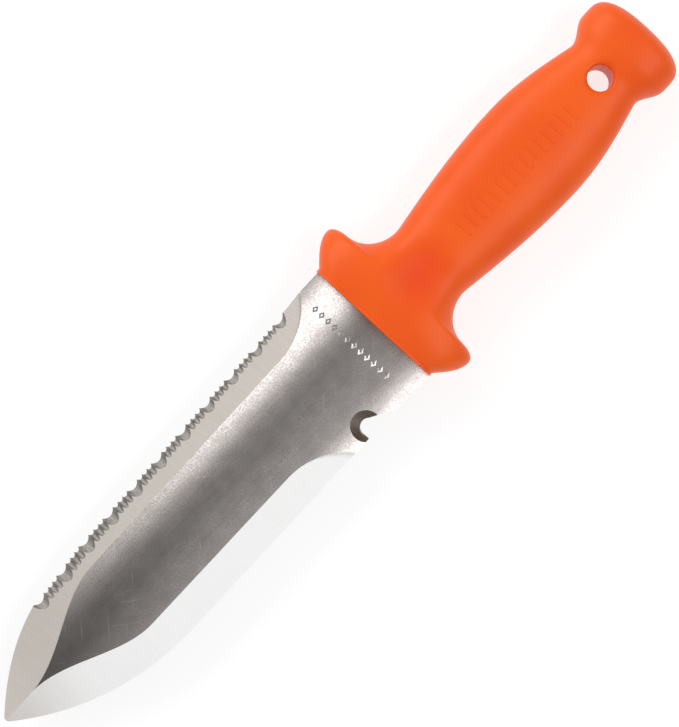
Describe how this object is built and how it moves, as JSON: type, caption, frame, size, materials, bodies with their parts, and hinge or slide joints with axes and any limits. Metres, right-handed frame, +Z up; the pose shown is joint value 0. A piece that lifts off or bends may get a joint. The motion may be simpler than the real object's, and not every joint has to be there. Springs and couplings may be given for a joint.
{
  "type": "soil knife",
  "caption": "Soil knife with a troughed steel blade, one saw edge, one plain edge with a twine notch, and a moulded plastic handle with a hang hole.",
  "frame": {"origin": "on the surface the knife lies on, at the middle of its length and of its width over the guard's horns", "axes": "+X along the knife to the tip, +Z up out of the blade's hollow face, so the saw edge is on the -Y side and the plain edge with the twine notch on the +Y side"},
  "size_m": [0.305, 0.0626, 0.026],
  "materials": {
    "blade_steel": "pressed trough with fine scratches, and ground bevels",
    "handle_plastic": "satin moulded orange"
  },
  "bodies": {
    "root": {"blade": "blade_steel", "handle": "handle_plastic"}
  },
  "joints": []
}
